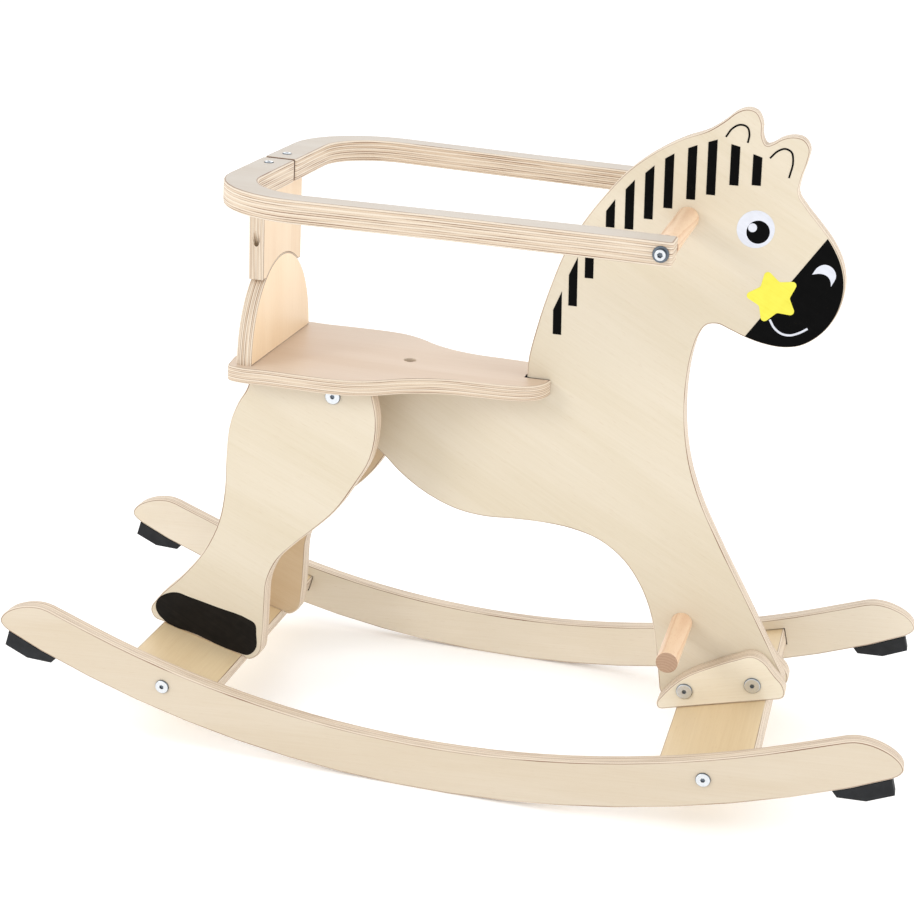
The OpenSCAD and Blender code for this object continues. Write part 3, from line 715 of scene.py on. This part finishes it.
set_out(bolt(head_r=2.8, shank_r=1.75, shank_l=28, dome=0.5, head_h=2, socket_r=1.4),
        "pocket_screws",
        [moved(BACK_MIDDLE, side * POCKET_Y, POCKET_H) @ turned(-side * POCKET_TILT, "X")
         @ moved(0, 0, -POCKET_DEPTH) for side, _ in SIDES])
set_out(bolt(head_r=5, shank_r=2.5, shank_l=47, dome=1.0, head_h=2.5, socket_r=2.3),
        "seat_screw", [moved(*SEAT_SCREW)])


def washer(outer, inner, height):
    """Flat ring with its seat at Z = 0: a tube wall, made solid and eased."""
    deselect()
    bpy.ops.mesh.primitive_cylinder_add(vertices=48, radius=outer * MM, depth=height * MM,
                                        end_fill_type="NOTHING", location=(0, 0, height * MM / 2))
    piece = bpy.context.object
    bpy.ops.object.transform_apply(location=True, rotation=True, scale=True)
    wall = piece.modifiers.new("wall", "SOLIDIFY")
    wall.thickness, wall.offset = (outer - inner) * MM, -1
    bpy.ops.object.modifier_apply(modifier="wall")
    soft = piece.modifiers.new("soft", "BEVEL")
    soft.width, soft.segments = 0.25 * MM, 2
    bpy.ops.object.modifier_apply(modifier="soft")
    piece.data.materials.append(DULL_AND_SHADE_ZINC)
    return piece


set_out(washer(outer=6, inner=2.7, height=WASHER_T), "rail_washers",
        [inwards(side, HANDLE_X, RAIL_FACE, HANDLE_H) for side, _ in SIDES])


# ---- Stoppers -------------------------------------------------------------------------------

RUBBER = moulded_rubber()
for end, where in ENDS:
    for side, hand in SIDES:
        node = f"stopper_{where}_{hand}"
        block = from_frame(node)
        ease(block, Y_AXIS, 1.1, shortest=0.05)
        settle(block)
        block.data.materials.append(RUBBER)
        hand_over(block, node)


# ---- Prints and hidden fasteners that stay as the frame has them ------------------------------

INKS = {
    "ink_black": screen_print("black_screen_print", "#020202", "#060606", BODY, 1.0),
    "ink_white": screen_print("white_screen_print", "#d6d9e2", "#ced1da", BODY, 1.0),
    "star": screen_print("yellow_screen_print", "#ece55a", "#e5dc50", BODY, 1.0),
    "hoof": screen_print("black_leg_print", "#1b1917", "#23201d", BODY, 15.0),
}


def dress(node, material):
    """Gives a node that keeps its CAD shape its material."""
    NODES[node].data.materials.clear()
    NODES[node].data.materials.append(material)


for print_name, ink in INKS.items():
    for _, hand in SIDES:
        dress(print_name + "_" + hand, ink)
for node in ("rocker_barrel_nuts", "arch_screws", "leg_screws", "stopper_screws"):
    dress(node, ZINC)


# ---- Studio ---------------------------------------------------------------------------------

def studio_floor():
    """A plain pale floor like a light table, big enough to have no edge in view."""
    deselect()
    bpy.ops.mesh.primitive_plane_add(size=60)
    floor = bpy.context.object
    floor.name = "studio_floor"
    material, tree = new_material("matt_white_floor")
    place = add(tree, "ShaderNodeTexCoord").outputs["Object"]
    tone = add(tree, "ShaderNodeTexNoise", {"Vector": place, "Scale": 0.6, "Detail": 2})
    colour = add(tree, "ShaderNodeMix", {0: tone, 6: linear("#fbfbfb"), 7: linear("#f8f8f8")},
                 data_type="RGBA")
    matt = add(tree, "ShaderNodeBsdfDiffuse", {"Color": colour})
    glow = add(tree, "ShaderNodeEmission", {"Strength": 0.13})
    lit = add(tree, "ShaderNodeAddShader", {0: matt, 1: glow})
    add(tree, "ShaderNodeOutputMaterial", {"Surface": lit})
    floor.data.materials.append(material)


def softbox(name, place, size, power):
    """Round white softbox aimed at the middle of the horse."""
    lamp = bpy.data.lights.new(name, "AREA")
    lamp.shape, lamp.size, lamp.energy = "DISK", size, power
    stand = bpy.data.objects.new(name, lamp)
    bpy.context.scene.collection.objects.link(stand)
    aim = Vector((0, 0, 0.25)) - Vector(place)
    stand.location = place
    stand.rotation_euler = aim.to_track_quat("-Z", "Y").to_euler()


studio_floor()
softbox("key_softbox", (-2.5, -2.3, 2.0), size=1.4, power=38)
softbox("fill_softbox", (3.0, -0.5, 1.5), size=1.4, power=26)
softbox("back_softbox", (-0.6, 2.6, 2.4), size=1.6, power=14)

world = bpy.data.worlds.new("studio_room")
world.use_nodes = True
world.node_tree.nodes["Background"].inputs["Color"].default_value = linear("#ffffff")
world.node_tree.nodes["Background"].inputs["Strength"].default_value = 1.0
bpy.context.scene.world = world
bpy.context.scene.view_settings.view_transform = "Standard"


def set_camera():
    """Camera in front of the horse's right side, looking down on it and rolled a little."""
    yaw, pitch, roll = radians(14.68), radians(22.71), radians(2.81)
    level = Vector((cos(yaw), sin(yaw), 0))
    ahead = Vector((-sin(yaw) * cos(pitch), cos(yaw) * cos(pitch), -sin(pitch)))
    above = level.cross(ahead)
    across = cos(roll) * level + sin(roll) * above
    up = -sin(roll) * level + cos(roll) * above
    lens = bpy.data.cameras.new("studio_camera")
    lens.lens, lens.sensor_width = 72.18, 36
    lens.shift_x, lens.shift_y = 0.0422, 0.1233
    lens.clip_start, lens.clip_end = 0.05, 200
    camera = bpy.data.objects.new("studio_camera", lens)
    bpy.context.scene.collection.objects.link(camera)
    camera.matrix_world = Matrix((across, up, -ahead)).transposed().to_4x4()
    camera.location = (0.3284, -1.4397, 0.7557)
    bpy.context.scene.camera = camera


set_camera()
